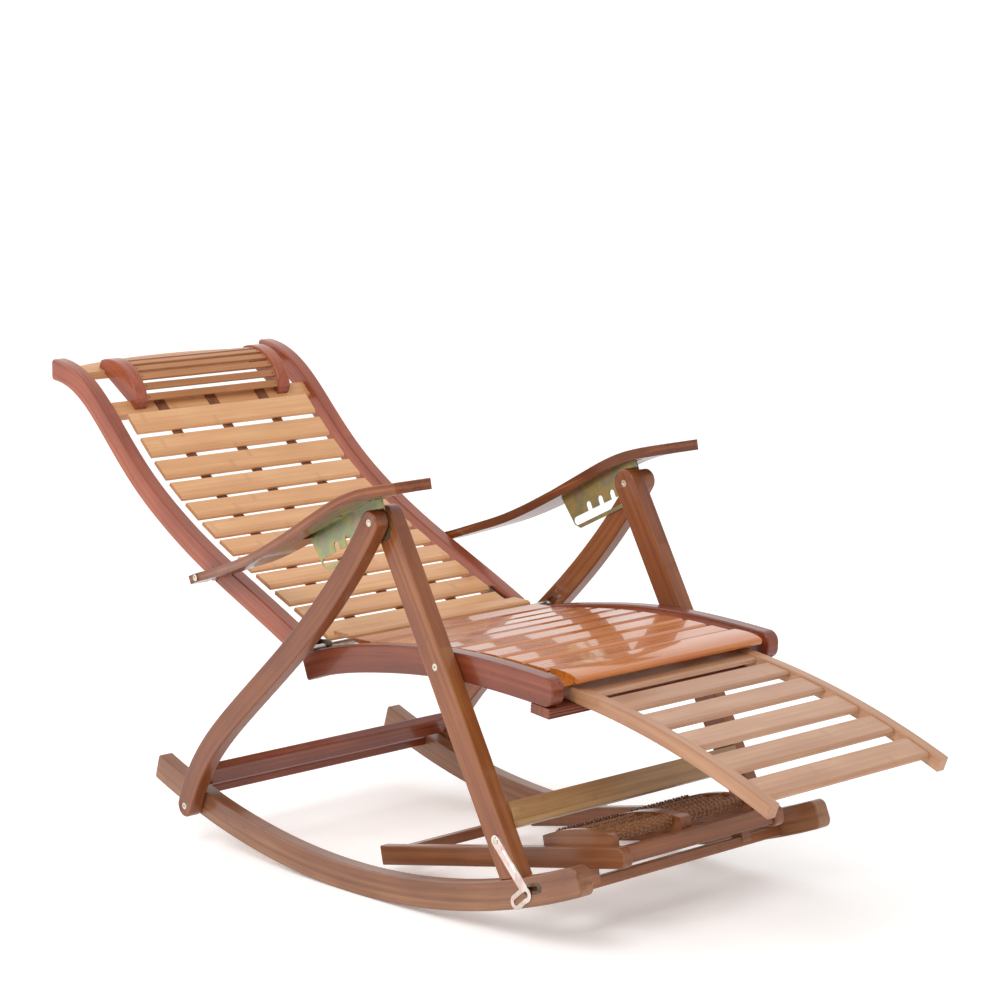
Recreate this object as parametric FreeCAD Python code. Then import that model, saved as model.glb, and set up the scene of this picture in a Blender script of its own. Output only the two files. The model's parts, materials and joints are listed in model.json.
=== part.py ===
import FreeCAD, Part
import math
import os

from FreeCAD import Vector

os.makedirs("parts", exist_ok=True)

# Millimetres. +X toward the feet, +Y to the sitter's left, +Z up, floor at Z = 0.

# layers across the chair, each measured from the middle plane outward
rear_leg_outer = 310.0
rear_leg_thick = 26.0
comb_gap = 3.0
comb_thick = 2.0
leg_thick = 28.0
side_gap = 1.0
rail_thick = 26.0
slat_end_room = 21.0
footrest_half = 198.0
footrest_rail_thick = 20.0
massage_half = 180.0
massage_rail_thick = 20.0

rear_leg_inner = rear_leg_outer - rear_leg_thick
leg_outer = rear_leg_inner - comb_gap
leg_inner = leg_outer - leg_thick
rail_outer = leg_inner - side_gap
rail_inner = rail_outer - rail_thick
slat_half = rail_inner - slat_end_room
comb_inner = leg_outer + (comb_gap - comb_thick) / 2

# depths of the bent boards seen from the side
rear_leg_half = 20.0
front_leg_half = 25.0
rocker_half = 24.0
seat_rail_half = 23.5
back_rail_half = 20.0
armrest_half = 7.5
armrest_half_front = 9.0

# pivots in the side plane
top_pivot = (115.0, 650.0)
foot_pivot = (-425.0, 60.0)
seat_pivot = (243.0, 432.0)
fold_pivot = (-112.0, 396.0)
arm_pivot = (-400.0, 478.0)

# footrest runs along one arc, so it slides through its own curve
foot_start = (436.0, 420.0)
foot_end = (892.0, 322.0)
foot_radius = 1590.0
foot_half = 12.0

# rocker arc
rocker_radius = 1600.0
rocker_low_x = -60.0
rocker_rear_x = -560.0
rocker_front_x = 590.0

# fasteners and fits
bolt_radius = 4.0
bolt_head_radius = 6.0
bolt_head_deep = 2.5
rod_radius = 5.0
running_fit = 0.06
rest_gap = 0.3

# how far the chair rolls forward on its rockers until it balances
rest_roll = 2.7035

slat_thick = 8.0
slat_wide = 46.0
strap_thick = 2.0
strap_wide = 22.0
strap_places = (-115.0, 0.0, 115.0)


pieces = {}


def export(shape, name):
    """Keep a finished piece; the whole chair is settled and written at the end."""
    pieces[name] = shape


def mirrored(shape):
    return shape.mirror(Vector(0, 0, 0), Vector(0, 1, 0))


def at(point, y=0.0):
    return Vector(point[0], y, point[1])


def spline(points):
    curve = Part.BSplineCurve()
    curve.interpolate([at(p) for p in points])
    return curve


def stations(curve, count):
    first, last = curve.FirstParameter, curve.LastParameter
    found = []
    for i in range(count):
        t = first + (last - first) * i / (count - 1.0)
        tangent = curve.tangent(t)[0]
        found.append((curve.value(t), tangent, Vector(-tangent.z, 0, tangent.x)))
    return found


def ribbon(points, half, start=0.0, end=0.0, half_end=None, samples=15):
    """Flat outline of a bent board: a curve through points, widened to each side.
    An end is "round" or the radius of its two corners."""
    half_end = half if half_end is None else half_end
    curve = spline(points)
    length = curve.length()
    first = length * 0 if start == "round" else start
    last = length if end == "round" else length - end
    upper, lower, rows = [], [], []
    for i in range(samples):
        distance = first + (last - first) * i / (samples - 1.0)
        t = curve.parameterAtDistance(distance, curve.FirstParameter)
        p, d = curve.value(t), curve.tangent(t)[0]
        n = Vector(-d.z, 0, d.x)
        h = half + (half_end - half) * i / (samples - 1.0)
        rows.append((p, d, n, h))
        upper.append(p + n * h)
        lower.append(p - n * h)
    up, low = Part.BSplineCurve(), Part.BSplineCurve()
    up.interpolate(upper)
    low.interpolate(lower)
    edges = [up.toShape(), low.toShape()]
    for kind, (p, d, n, h), way in ((start, rows[0], -1), (end, rows[-1], 1)):
        if kind == "round":
            edges.append(Part.Arc(p + n * h, p + d * (way * h), p - n * h).toShape())
        elif kind:
            tip = p + d * (way * kind)
            corner = kind * (1 - math.sqrt(0.5))
            for s in (1, -1):
                edges.append(
                    Part.Arc(
                        p + n * (s * h),
                        tip - d * (way * corner) + n * (s * (h - corner)),
                        tip + n * (s * (h - kind)),
                    ).toShape()
                )
            if h - kind > 0.01:
                edges.append(Part.makeLine(tip + n * (h - kind), tip - n * (h - kind)))
        else:
            edges.append(Part.makeLine(p + n * h, p - n * h))
    return Part.Face(Part.Wire(Part.__sortEdges__(edges)))


def raised(face, y0, y1):
    solid = face.extrude(Vector(0, y1 - y0, 0))
    solid.translate(Vector(0, y0, 0))
    return solid


def soften(solid, radius, sides=None):
    """Round the long edges on the two flat side faces of a board."""
    box = solid.BoundBox
    sides = (box.YMin, box.YMax) if sides is None else sides
    edges = []
    for e in solid.Edges:
        ys = [v.Point.y for v in e.Vertexes]
        ys.append(e.valueAt((e.FirstParameter + e.LastParameter) / 2).y)
        if any(all(abs(y - s) < 1e-3 for y in ys) for s in sides):
            edges.append(e)
    return solid.makeFillet(radius, edges)


def bar(centre, angle, along, across, y0, y1, soft=2.0):
    """Straight bar across the chair, its section turned by angle degrees."""
    box = Part.makeBox(along, y1 - y0, across, Vector(-along / 2, y0, -across / 2))
    if soft:
        long_edges = [
            e for e in box.Edges if abs(e.Vertexes[0].Point.y - e.Vertexes[-1].Point.y) > 1
        ]
        box = box.makeFillet(soft, long_edges)
    box.rotate(Vector(0, 0, 0), Vector(0, 1, 0), -angle)
    box.translate(at(centre))
    return box


def pin(point, radius, y0, y1):
    return Part.makeCylinder(radius, abs(y1 - y0), at(point, min(y0, y1)), Vector(0, 1, 0))


def bolt(point, face, tip):
    """Bolt with a sunk head flush with the outer face and a hex socket."""
    way = 1 if tip > face else -1
    shank = pin(point, bolt_radius, face + way * bolt_head_deep, tip)
    head = pin(point, bolt_head_radius, face, face + way * bolt_head_deep)
    socket = Part.makePolygon(
        [
            at(
                (
                    point[0] + 3 * math.cos(math.radians(60 * k)),
                    point[1] + 3 * math.sin(math.radians(60 * k)),
                ),
                face - way,
            )
            for k in range(7)
        ]
    )
    hexagon = Part.Face(socket).extrude(Vector(0, way * (bolt_head_deep + 0.2), 0))
    return head.fuse(shank).removeSplitter().cut(hexagon)


def bolt_room(point, face, tip, fit):
    """Space a bolt takes out of the wood it goes through."""
    way = 1 if tip > face else -1
    head = pin(point, bolt_head_radius + fit, face - way, face + way * (bolt_head_deep + fit))
    return head.fuse(pin(point, bolt_radius + fit, face - way, tip))


def turned(point, centre, degrees):
    a = math.radians(degrees)
    x, z = point[0] - centre[0], point[1] - centre[1]
    return (centre[0] + x * math.cos(a) - z * math.sin(a), centre[1] + x * math.sin(a) + z * math.cos(a))


def step(start, toward, distance):
    length = math.hypot(toward[0] - start[0], toward[1] - start[1])
    return (
        start[0] + (toward[0] - start[0]) * distance / length,
        start[1] + (toward[1] - start[1]) * distance / length,
    )


def slope(a, b):
    return math.degrees(math.atan2(b[1] - a[1], b[0] - a[0]))


def rocker_point(x, lift=0.0):
    """Point on the rocker's running arc at x, raised square to the arc."""
    radius = rocker_radius - lift
    a = math.asin((x - rocker_low_x) / rocker_radius)
    return (rocker_low_x + radius * math.sin(a), rocker_radius - radius * math.cos(a))


def both(shape):
    return Part.makeCompound([shape, mirrored(shape)])


# rockers
rocker_line = [
    rocker_point(rocker_rear_x + (rocker_front_x - rocker_rear_x) * i / 8.0, rocker_half) for i in range(9)
]
rocker = raised(ribbon(rocker_line, rocker_half, 6.0, 14.0), -leg_outer, -leg_inner)
rocker = soften(rocker, 3.0)
rocker = rocker.cut(pin(foot_pivot, bolt_radius + running_fit, -leg_outer - 1, -leg_inner - 6))

# keeper plate let into the outer face for the catch
keeper_x = 485.0
keeper_point = rocker_point(keeper_x, 28)
keeper_angle = math.degrees(math.asin((keeper_x - rocker_low_x) / rocker_radius))
keeper_face = ribbon(
    [turned((keeper_point[0] + d, keeper_point[1]), keeper_point, keeper_angle) for d in (-14, -5, 5, 14)],
    9.0,
    "round",
    "round",
    samples=5,
)
keeper_slot = ribbon(
    [turned((keeper_point[0] + d, keeper_point[1]), keeper_point, keeper_angle) for d in (-10, -3, 3, 10)],
    4.0,
    "round",
    "round",
    samples=5,
)
keeper = raised(keeper_face, -leg_outer, -leg_outer + 1.5).cut(
    raised(keeper_slot, -leg_outer - 1, -leg_outer + 2)
)
rocker = rocker.cut(raised(keeper_face, -leg_outer - 1, -leg_outer + 1.5))
rocker = rocker.cut(raised(keeper_slot, -leg_outer - 1, -leg_outer + 8))
export(rocker, "rocker_right")
export(mirrored(rocker), "rocker_left")
export(both(keeper), "catch_keepers")

rear_bar_point = rocker_point(-455, 34)
rear_bar_slope = slope(rocker_point(-470), rocker_point(-440))
rocker_bar_rear = bar(rear_bar_point, rear_bar_slope, 38, 16, -leg_inner, leg_inner)
front_bar_x = 487.0
front_bar_angle = math.degrees(math.asin((front_bar_x - rocker_low_x) / rocker_radius))
front_bar_point = rocker_point(front_bar_x, 12)
rocker_bar_front = bar(front_bar_point, front_bar_angle, 38, 17, -leg_inner, leg_inner)
export(rocker_bar_rear, "rocker_rear_crossbar")
export(rocker_bar_front, "rocker_front_crossbar")

# rear legs, bent in the side plane, pinned to the rockers at the foot
rear_leg_line = [top_pivot, (32.0, 541.0), (-95.0, 411.0), (-275.0, 254.0), (-368.0, 160.0), foot_pivot]
rear_leg_face = ribbon(rear_leg_line, rear_leg_half, "round", "round", samples=17)
rear_leg = raised(rear_leg_face, -rear_leg_outer, -rear_leg_inner)
rear_leg = soften(rear_leg, 3.0)
groove_line = [(-95.0, 411.0), (-185.0, 331.0), (-275.0, 254.0), (-320.0, 212.0)]
groove_face = ribbon(groove_line, rod_radius + 3, "round", "round", samples=9)
groove = raised(groove_face, -rear_leg_inner - 6, -rear_leg_inner + 1)
rear_leg = rear_leg.cut(groove)
rear_leg = rear_leg.cut(bolt_room(top_pivot, -rear_leg_outer, -rear_leg_inner + 1, 0.0))
rear_leg = rear_leg.cut(bolt_room(foot_pivot, -rear_leg_outer, -rear_leg_inner + 1, 0.0))
export(rear_leg, "rear_leg_right")
export(mirrored(rear_leg), "rear_leg_left")
export(both(bolt(foot_pivot, -rear_leg_outer, -leg_inner - 7)), "foot_bolts")
export(both(bolt(top_pivot, -rear_leg_outer, -rear_leg_inner)), "top_bolts_outer")

rear_leg_bar_point = (-398.0, 118.0)
rear_leg_bar = bar(rear_leg_bar_point, 60, 38, 18, -rear_leg_inner, rear_leg_inner)
export(rear_leg_bar, "rear_leg_crossbar")

# front legs, straight, hung on the same top pivot, feet on the rocker tops
foot_x = 438.0
front_bar_down = 515.0
catch_down = front_bar_down + 30.0
foot_touch = rocker_point(foot_x, 2 * rocker_half)
front_leg_line = [step(top_pivot, foot_touch, d) for d in (0, 150, 300, 450, 640)]
front_leg = raised(ribbon(front_leg_line, front_leg_half, "round", samples=5), -leg_outer, -leg_inner)
arc_centre = (rocker_low_x, rocker_radius)
clear_of_rocker = pin(arc_centre, rocker_radius - 2 * rocker_half - rest_gap, -leg_outer - 5, -leg_inner + 5)
front_leg = front_leg.common(clear_of_rocker)
front_leg = soften(front_leg, 3.0)
front_leg = front_leg.cut(bolt_room(top_pivot, -leg_inner, -leg_outer - 1, 0.0))
front_leg = front_leg.cut(bolt_room(seat_pivot, -leg_outer, -leg_inner + 1, 0.0))
export(both(bolt(top_pivot, -leg_inner, -leg_outer)), "top_bolts_inner")
seat_bolt = bolt(seat_pivot, -leg_outer, -rail_inner - 5)
seat_bolt = seat_bolt.fuse(pin(seat_pivot, 11.0, -leg_inner, -rail_outer - 0.2)).removeSplitter()
export(both(seat_bolt), "seat_bolts")

leg_angle = slope(top_pivot, foot_touch)
front_bar_mid = step(top_pivot, foot_touch, front_bar_down)
front_bar_mid = (
    front_bar_mid[0] + 20 * math.cos(math.radians(leg_angle + 90)),
    front_bar_mid[1] + 20 * math.sin(math.radians(leg_angle + 90)),
)
front_leg_bar = bar(front_bar_mid, leg_angle, 41, 20, -leg_inner, leg_inner)
export(front_leg_bar, "front_leg_crossbar")

# catches that tie the front feet to the rockers
catch_pivot = step(top_pivot, foot_touch, catch_down)
catch_end = (460.0, 116.0)
catch_face = -leg_outer - 0.3
catch_back = catch_face - 1.6
catch_half = 9.5
ring_half = 12.5
ring_hole_half = 5.0
catch_line = [step(catch_pivot, catch_end, d) for d in (0, 30, 60, 90)]
catch_body = raised(ribbon(catch_line, catch_half, "round", "round", samples=5), catch_back, catch_face)
ring_line = [(440.0, 92.0), (447.0, 98.0), (454.0, 104.0), (462.0, 110.0)]
ring_hole_face = ribbon(ring_line, ring_hole_half, "round", "round", samples=5)
ring_face = ribbon(ring_line, ring_half, "round", "round", samples=5).cut(ring_hole_face)
ring_hole = raised(ring_hole_face, catch_back - 1, catch_face + 1)
catch_body = catch_body.fuse(raised(ring_face, catch_back, catch_face)).removeSplitter().cut(ring_hole)
rib_line = [step(catch_pivot, catch_end, d) for d in (20, 34, 48, 62)]
rib_face = ribbon(rib_line, 4.0, "round", "round", samples=5)
catch_body = catch_body.fuse(raised(rib_face, catch_back - 0.7, catch_back))
catch_body = catch_body.cut(pin(catch_pivot, 3.0 + running_fit, catch_back - 1, catch_face + 1))
export(catch_body, "catch_right")
export(mirrored(catch_body), "catch_left")
catch_bolt = pin(catch_pivot, 3.0, catch_back - 0.1, -leg_outer + 12).fuse(
    pin(catch_pivot, 5.5, catch_back - 0.9, catch_back - 0.1)
)
catch_bolt = catch_bolt.fuse(pin(catch_pivot, 7.0, -leg_outer - 0.2, -leg_outer)).removeSplitter()
front_leg = front_leg.cut(pin(catch_pivot, 3.0, -leg_outer - 1, -leg_outer + 12))
export(front_leg, "front_leg_right")
export(mirrored(front_leg), "front_leg_left")
export(both(catch_bolt), "catch_bolts")

# seat rails, arched, meeting the back at the folding rod
seat_line = [
    (-140.0, 357.0),
    (-50.0, 386.0),
    (42.0, 405.0),
    (146.0, 421.0),
    (250.0, 430.5),
    (350.0, 432.5),
    (488.0, 428.0),
]
seat_rail = raised(ribbon(seat_line, seat_rail_half, 5.0, 19.0), -rail_outer, -rail_inner)
seat_rail = soften(seat_rail, 3.0)
seat_rail = seat_rail.cut(pin(seat_pivot, bolt_radius + running_fit, -rail_outer - 1, -rail_inner - 4))
seat_rail = seat_rail.cut(pin(fold_pivot, rod_radius + running_fit, -rail_outer - 1, -rail_inner + 1))

nose_line = [(432.0, 447.0), (445.0, 447.5), (470.0, 446.5), (487.0, 443.0)]
nose = raised(ribbon(nose_line, 6.5, 0, "round", samples=9), -slat_half, slat_half)
export(nose, "seat_front_board")
nose_bar = bar((463.0, 437.0), -2, 24, 9, -rail_inner, rail_inner).cut(nose)
export(nose_bar, "seat_front_crossbar")
foot_chord = math.hypot(foot_end[0] - foot_start[0], foot_end[1] - foot_start[1])
foot_angle = math.radians(slope(foot_start, foot_end))
foot_drop = math.sqrt(foot_radius ** 2 - foot_chord ** 2 / 4)
foot_centre = (
    (foot_start[0] + foot_end[0]) / 2 + foot_drop * math.sin(foot_angle),
    (foot_start[1] + foot_end[1]) / 2 - foot_drop * math.cos(foot_angle),
)


def foot_point(x, lift=0.0):
    """Point on the footrest's running arc at x, raised square to the arc."""
    a = math.asin((x - foot_centre[0]) / foot_radius)
    radius = foot_radius + lift
    return (foot_centre[0] + radius * math.sin(a), foot_centre[1] + radius * math.cos(a))


# guide bar just under the footrest rails, three grooves along each long edge
guide_x, guide_wide, guide_thick = 462.0, 44.0, 16.0
guide_angle = -math.degrees(math.asin((guide_x - foot_centre[0]) / foot_radius))
guide_sag = guide_wide ** 2 / (8 * (foot_radius - foot_half))
guide_mid = foot_point(guide_x, -foot_half - rest_gap - guide_sag - guide_thick / 2)
under_bar = bar(guide_mid, guide_angle, guide_wide, guide_thick, -rail_outer, rail_outer)
for k in (-1, 0, 1):
    for side in (-1, 1):
        edge = turned((guide_mid[0] + side * guide_wide / 2, guide_mid[1] + 5 * k), guide_mid, guide_angle)
        under_bar = under_bar.cut(bar(edge, 45 + guide_angle, 2, 2, -rail_outer - 1, rail_outer + 1, 0))
seat_rail = seat_rail.cut(under_bar)
export(under_bar, "footrest_guide_bar")
export(seat_rail, "seat_rail_right")
export(mirrored(seat_rail), "seat_rail_left")
# slats
def slat(top, angle, wide=slat_wide, half=slat_half):
    """One slat whose top middle line is at top, lying along angle."""
    t = slat_thick
    outline = Part.makePolygon(
        [
            Vector(-wide / 2, 0, -t),
            Vector(wide / 2, 0, -t),
            Vector(wide / 2, 0, -3),
            Vector(wide / 2 - 6, 0, 0),
            Vector(-wide / 2 + 2, 0, 0),
            Vector(-wide / 2, 0, -1.5),
            Vector(-wide / 2, 0, -t),
        ]
    )
    board = Part.Face(outline).extrude(Vector(0, 2 * half, 0))
    board.translate(Vector(0, -half, 0))
    board.rotate(Vector(0, 0, 0), Vector(0, 1, 0), -angle)
    board.translate(at(top))
    return board


def along(curve, distance):
    t = curve.parameterAtDistance(distance, curve.FirstParameter)
    p, d = curve.value(t), curve.tangent(t)[0]
    return (p.x, p.z), math.degrees(math.atan2(d.z, d.x))


def strap(line, drop):
    """Strap under the slats that follows the same curve."""
    pieces = []
    rows = stations(line, 25)
    for y in strap_places:
        top = Part.BSplineCurve()
        top.interpolate([p - n * drop for p, t, n in rows])
        low = Part.BSplineCurve()
        low.interpolate([p - n * (drop + strap_thick) for p, t, n in rows])
        a, b = rows[0], rows[-1]
        edges = [
            top.toShape(),
            low.toShape(),
            Part.makeLine(a[0] - a[2] * drop, a[0] - a[2] * (drop + strap_thick)),
            Part.makeLine(b[0] - b[2] * drop, b[0] - b[2] * (drop + strap_thick)),
        ]
        face = Part.Face(Part.Wire(Part.__sortEdges__(edges)))
        pieces.append(raised(face, y - strap_wide / 2, y + strap_wide / 2))
    return pieces


seat_mat = spline([
    (-62.0, 417.0),
    (-25.0, 417.5),
    (30.0, 424.0),
    (146.0, 440.0),
    (250.0, 448.5),
    (350.0, 451.0),
    (430.0, 450.0),
])
seat_count = 9
seat_pitch = seat_mat.length() / seat_count
seat_slats = []
for i in range(seat_count):
    spot, angle = along(seat_mat, seat_pitch * (i + 0.5) - 2)
    seat_slats.append(slat(spot, angle))
export(Part.makeCompound(seat_slats), "seat_slats")
# straps run on to the underside of the nose board, where they are tacked
seat_strap_line = spline([
    (-62.0, 417.0),
    (-25.0, 417.5),
    (30.0, 424.0),
    (146.0, 440.0),
    (250.0, 448.5),
    (350.0, 451.0),
    (448.0, 449.5),
])
seat_straps = [s.cut(nose) for s in strap(seat_strap_line, slat_thick + 0.9)]
export(Part.makeCompound(seat_straps), "seat_straps")

# back frame
back_line = [
    (-146.0, 386.0), (-200.0, 409.0), (-310.0, 453.0), (-455.0, 513.0), (-541.0, 557.0),
    (-628.0, 612.0), (-717.0, 687.0), (-812.0, 764.0), (-912.0, 792.0),
]
back_curve = spline(back_line)
back_rail = raised(ribbon(back_line, back_rail_half, 5.0, 8.0, samples=25), -rail_outer, -rail_inner)
back_rail = soften(back_rail, 3.0)
back_rail = back_rail.cut(pin(arm_pivot, bolt_radius + running_fit, -rail_outer - 1, -rail_inner - 4))
export(back_rail, "back_rail_right")
export(mirrored(back_rail), "back_rail_left")


def back_point(distance, lift):
    """Point along the back measured up from its lower end, lifted off the rail centre."""
    t = back_curve.parameterAtDistance(distance, back_curve.FirstParameter)
    p, d = back_curve.value(t), back_curve.tangent(t)[0]
    front = Vector(d.z, 0, -d.x)
    q = p + front * lift
    return (q.x, q.z), math.degrees(math.atan2(d.z, d.x)) + 180


slat_top = back_rail_half - 1.5
back_count = 12
back_pitch = 58.9
back_first = 14.0
back_end = back_first + back_pitch * (back_count - 0.5)
back_rise = 5.0
back_rise_long = 200.0


def back_mat_point(distance):
    """Point on the line of the slat tops, which rises a little toward the seat."""
    rise = back_rise * max(0.0, 1 - distance / back_rise_long) ** 2
    return back_point(distance, slat_top + rise)[0]


back_slats = []
for i in range(back_count):
    middle = back_first + back_pitch * i
    angle = slope(back_mat_point(middle + 5), back_mat_point(middle - 5))
    back_slats.append(slat(back_mat_point(middle), angle))
export(Part.makeCompound(back_slats), "back_slats")

mat_points = []
for k in range(13):
    mat_points.append(back_mat_point(back_end * k / 12.0 + (26 if k == 12 else 0)))
back_mat = spline(mat_points[::-1])
back_straps = strap(back_mat, slat_thick + 0.9)
export(Part.makeCompound(back_straps), "back_straps")

strap_low = slat_top - slat_thick - 0.9 - strap_thick
bar_thick = 16.0
second_at = back_end + 16
spot, angle = back_point(second_at, strap_low - bar_thick / 2 - 0.6)
second_bar = bar(spot, angle, 34, bar_thick, -rail_inner, rail_inner)
export(second_bar, "back_second_crossbar")
total = back_curve.length()
top_at = total - 48
spot, angle = back_point(top_at, strap_low - bar_thick / 2)
flat = Part.makePolygon([Vector(-17, -rail_inner, 0), Vector(17, -rail_inner, 0), Vector(17, rail_inner, 0)])
bow = Part.Arc(Vector(-17, rail_inner, 0), Vector(-40, 0, 0), Vector(-17, -rail_inner, 0)).toShape()
close_line = Part.makeLine(Vector(17, rail_inner, 0), Vector(-17, rail_inner, 0))
bow_face = Part.Face(Part.Wire(Part.__sortEdges__(flat.Edges + [close_line, bow])))
top_bar = bow_face.extrude(Vector(0, 0, bar_thick))
top_bar.translate(Vector(0, 0, -bar_thick / 2))
top_bar.rotate(Vector(0, 0, 0), Vector(0, 1, 0), -angle)
top_bar.translate(at(spot))
export(top_bar, "back_top_crossbar")

# headrest: two end plates and a row of strips round the curve
head_low, ang_low = back_point(second_at - 8, strap_low)
head_high, ang_high = back_point(top_at + 4, strap_low)
head_mid = ((head_low[0] + head_high[0]) / 2, (head_low[1] + head_high[1]) / 2)
head_angle = slope(head_high, head_low)
head_long = math.hypot(head_high[0] - head_low[0], head_high[1] - head_low[1])
head_plate_outer = 177.0
head_plate_thick = 26.0
head_plate_inner = head_plate_outer - head_plate_thick
head_rise = 47.0


def head_frame(x, z):
    a = math.radians(head_angle)
    return (head_mid[0] + x * math.cos(a) - z * math.sin(a), head_mid[1] + x * math.sin(a) + z * math.cos(a))


plate_half = head_long / 2
outline = [
    Part.makeLine(at(head_frame(-plate_half, 0)), at(head_frame(plate_half, 0))),
    Part.makeLine(at(head_frame(plate_half, 0)), at(head_frame(plate_half, 16))),
    Part.Arc(
        at(head_frame(plate_half, 16)), at(head_frame(0, head_rise)), at(head_frame(-plate_half, 16))
    ).toShape(),
    Part.makeLine(at(head_frame(-plate_half, 16)), at(head_frame(-plate_half, 0))),
]
head_face = Part.Face(Part.Wire(outline))
head_plates = []
for y0 in (-head_plate_outer, head_plate_inner):
    plate = raised(head_face, y0, y0 + head_plate_thick)
    plate = plate.cut(second_bar).cut(top_bar)
    head_plates.append(plate)
export(Part.makeCompound(head_plates), "headrest_end_plates")
strip_count = 7
strip_wide = 14.0
strip_reach = 0.88
chord = plate_half
sagitta = head_rise - 16
arc_radius = (chord * chord + sagitta * sagitta) / (2 * sagitta)
sweep = math.degrees(math.asin(chord / arc_radius))
strips = []
for i in range(strip_count):
    a = sweep * strip_reach * (2 * i / (strip_count - 1.0) - 1)
    r = arc_radius - 7
    x = r * math.sin(math.radians(a))
    z = head_rise - arc_radius + r * math.cos(math.radians(a))
    place = head_frame(x, z)
    strips.append(bar(place, head_angle - a, strip_wide, 6, -head_plate_inner, head_plate_inner, 1.5))
export(Part.makeCompound(strips), "headrest_strips")

# folding rod, hinge plates and the slat over the fold
rod = pin(fold_pivot, rod_radius, -rear_leg_inner + rest_gap, rear_leg_inner - rest_gap)
for side in (-1, 1):
    y0 = side * (rear_leg_inner - rest_gap)
    rod = rod.fuse(pin(fold_pivot, rod_radius + 3, y0, y0 - side * 4))
    rod = rod.fuse(pin(fold_pivot, rod_radius + 3, side * (rail_inner - 8), side * (rail_inner - 11)))
rod = rod.removeSplitter()
export(rod, "folding_rod")

plate_thick = 3.0


def hinge_plate(line, y0, y1, screw_spots):
    plate = raised(ribbon(line, 11.0, "round", "round", samples=7), y0, y1)
    plate = plate.cut(pin(fold_pivot, rod_radius + running_fit, y0 - 1, y1 + 1))
    for s in screw_spots:
        plate = plate.fuse(pin(s, 4.5, y1, y1 + 1.2))
    return plate.removeSplitter()


seat_plate_line = [fold_pivot, (-104.0, 378.0), (-84.0, 374.0), (-40.0, 388.0)]
seat_plate_screws = [(-78.0, 376.0), (-46.0, 386.0)]
seat_plate = hinge_plate(seat_plate_line, -rail_inner, -rail_inner + plate_thick, seat_plate_screws)
back_plate_line = [fold_pivot, (-140.0, 393.0), (-165.0, 397.0), (-205.0, 411.0)]
back_plate_screws = [(-170.0, 398.5), (-198.0, 408.5)]
back_y0 = -rail_inner + plate_thick + 0.2
back_plate = hinge_plate(back_plate_line, back_y0, back_y0 + plate_thick, back_plate_screws)
pad_line = [(-160.0, 395.5), (-175.0, 400.0), (-190.0, 405.0), (-205.0, 411.0)]
pad = raised(ribbon(pad_line, 10.0, "round", "round", samples=5), -rail_inner, back_y0)
back_plate = back_plate.fuse(pad).removeSplitter()
export(both(seat_plate), "seat_hinge_plates")
export(both(back_plate), "back_hinge_plates")
fold_slat_top = (-95.0, 419.0)
fold_slat = slat(fold_slat_top, 0, 44)
export(fold_slat, "fold_slat")
loops = []
for y in strap_places:
    ring = pin(fold_pivot, rod_radius + strap_thick + 0.3, y - strap_wide / 2, y + strap_wide / 2)
    tab = bar((-109.0, 407.0), -14, 5, 16, y - strap_wide / 2, y + strap_wide / 2, 0)
    loop = ring.fuse(tab).removeSplitter().cut(rod).cut(fold_slat)
    loops.append(loop)
export(Part.makeCompound(loops), "fold_strap_loops")

# armrests with toothed plates underneath
arm_line = [
    (-420.0, 470.0), arm_pivot, (-357.0, 491.0), (-300.0, 510.0), (-216.0, 539.0), (-125.0, 579.0),
    (-44.0, 620.0), (30.0, 660.0), (101.0, 692.5), (150.0, 707.0), (213.0, 721.5),
]
arm_inner = rail_outer + 1.5
arm_side = raised(ribbon(arm_line, armrest_half, half_end=armrest_half_front, samples=21), -350, -240)
arm_rear_outer = 292.0
plan = [(-450, arm_inner), (-330, arm_inner), (-180, 256), (60, 259), (240, 261)]
plan_out = [(240, 332), (120, 338), (-60, 332), (-240, 310), (-350, arm_rear_outer), (-450, arm_rear_outer)]
plan = [Vector(x, -y, 0) for x, y in plan]
plan_out = [Vector(x, -y, 0) for x, y in plan_out]
inner_edge, outer_edge = Part.BSplineCurve(), Part.BSplineCurve()
inner_edge.interpolate(plan)
outer_edge.interpolate(plan_out)
plan_face = Part.Face(
    Part.Wire(
        Part.__sortEdges__(
            [
                inner_edge.toShape(),
                outer_edge.toShape(),
                Part.makeLine(plan[-1], plan_out[0]),
                Part.makeLine(plan_out[-1], plan[0]),
            ]
        )
    )
)
plan_solid = plan_face.extrude(Vector(0, 0, 500))
plan_solid.translate(Vector(0, 0, 400))
armrest = arm_side.common(plan_solid)
armrest = armrest.cut(Part.makeBox(800, 60, 500, Vector(-450, -arm_inner, 400)))

flange_start = (-78.0, 599.0)
flange_angle = 25.6
comb_front = 16.0
comb_below = 7.0
notch_pitch = 33.0
notch_half = bolt_radius + 2.5
channel_half = 7.5
channel_drop = 17.0


def comb_frame(along_plate, down):
    a = math.radians(flange_angle)
    return (
        flange_start[0] + along_plate * math.cos(a) + down * math.sin(a),
        flange_start[1] + along_plate * math.sin(a) - down * math.cos(a),
    )


pin_dx, pin_dz = top_pivot[0] - flange_start[0], top_pivot[1] - flange_start[1]
ca, sa = math.cos(math.radians(flange_angle)), math.sin(math.radians(flange_angle))
pin_along = pin_dx * ca + pin_dz * sa
pin_down = pin_dx * sa - pin_dz * ca
channel_down = pin_down + channel_drop
comb_long = pin_along + comb_front
comb_deep = channel_down + channel_half + comb_below


def comb_polygon(spots, y0, y1):
    points = [at(comb_frame(*s)) for s in spots]
    return raised(Part.Face(Part.makePolygon(points + points[:1])), y0, y1)


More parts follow.
